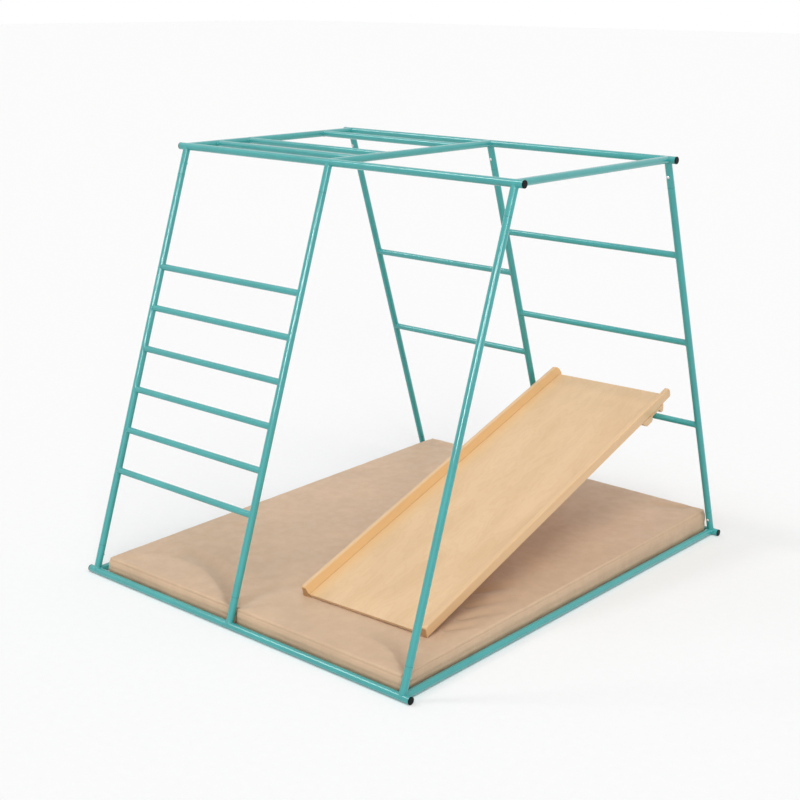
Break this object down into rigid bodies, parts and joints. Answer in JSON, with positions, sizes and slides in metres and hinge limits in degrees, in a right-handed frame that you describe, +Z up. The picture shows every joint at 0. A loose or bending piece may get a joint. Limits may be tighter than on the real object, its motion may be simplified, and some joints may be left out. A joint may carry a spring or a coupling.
{
  "type": "indoor climbing frame",
  "caption": "Free-standing painted steel tube climbing frame for small children, with ladder rungs, overhead hand bars, a padded floor mat and a wooden slide hooked on a rung.",
  "frame": {"origin": "on the floor, in the middle of the frame's length and width", "axes": "+X along the rails, from the ladder bay to the slide bay; +Y from the ladder side to the side where the slide hooks on; +Z up"},
  "size_m": [1.32, 1.616, 1.3],
  "materials": {
    "teal_paint": "satin powder coat",
    "inner_steel": "zinc plated",
    "screw_steel": "zinc plated",
    "wood_screw_steel": "zinc plated",
    "cap_plastic": "matte",
    "mat_leatherette": "fine grained artificial leather",
    "mat_foam": "closed foam",
    "deck_plywood": "clear satin lacquer on birch plywood",
    "rail_wood": "clear satin lacquer on light wood"
  },
  "bodies": {
    "frame": {"base_cross_left": "teal_paint", "base_cross_right": "teal_paint", "base_joint_screws": "screw_steel", "base_joint_sleeves": "inner_steel", "base_rail_far": "teal_paint", "base_rail_near": "teal_paint", "base_socket_far_left": "teal_paint", "base_socket_far_middle": "teal_paint", "base_socket_far_right": "teal_paint", "base_socket_near_left": "teal_paint", "base_socket_near_middle": "teal_paint", "base_socket_near_right": "teal_paint", "hand_bar_far": "teal_paint", "hand_bar_inner": "teal_paint", "hand_bar_near": "teal_paint", "leg_far_left": "teal_paint", "leg_far_middle": "teal_paint", "leg_far_right": "teal_paint", "leg_near_left": "teal_paint", "leg_near_middle": "teal_paint", "leg_near_right": "teal_paint", "mat_core": "mat_foam", "mat_cover": "mat_leatherette", "rail_end_caps": "cap_plastic", "rung_far_left_1": "teal_paint", "rung_far_left_2": "teal_paint", "rung_far_right_1": "teal_paint", "rung_far_right_2": "teal_paint", "rung_far_right_3": "teal_paint", "rung_near_1": "teal_paint", "rung_near_2": "teal_paint", "rung_near_3": "teal_paint", "rung_near_4": "teal_paint", "rung_near_5": "teal_paint", "rung_near_6": "teal_paint", "top_cross_left": "teal_paint", "top_cross_middle": "teal_paint", "top_cross_right": "teal_paint", "top_joint_screws": "screw_steel", "top_joint_sleeves": "inner_steel", "top_rail_far": "teal_paint", "top_rail_near": "teal_paint", "top_socket_far_left": "teal_paint", "top_socket_far_middle": "teal_paint", "top_socket_far_right": "teal_paint", "top_socket_near_left": "teal_paint", "top_socket_near_middle": "teal_paint", "top_socket_near_right": "teal_paint"},
    "slide": {"slide_deck": "deck_plywood", "slide_hook_left": "rail_wood", "slide_hook_right": "rail_wood", "slide_hook_screws": "wood_screw_steel", "slide_rail_left": "rail_wood", "slide_rail_right": "rail_wood"}
  },
  "joints": [
    {"name": "slide_on_rung", "type": "hinge", "parent": "frame", "child": "slide", "pos_m": [0.27, 0.66379, 0.413], "axis": [-1, 0, 0], "range_deg": [0, 74]}
  ]
}
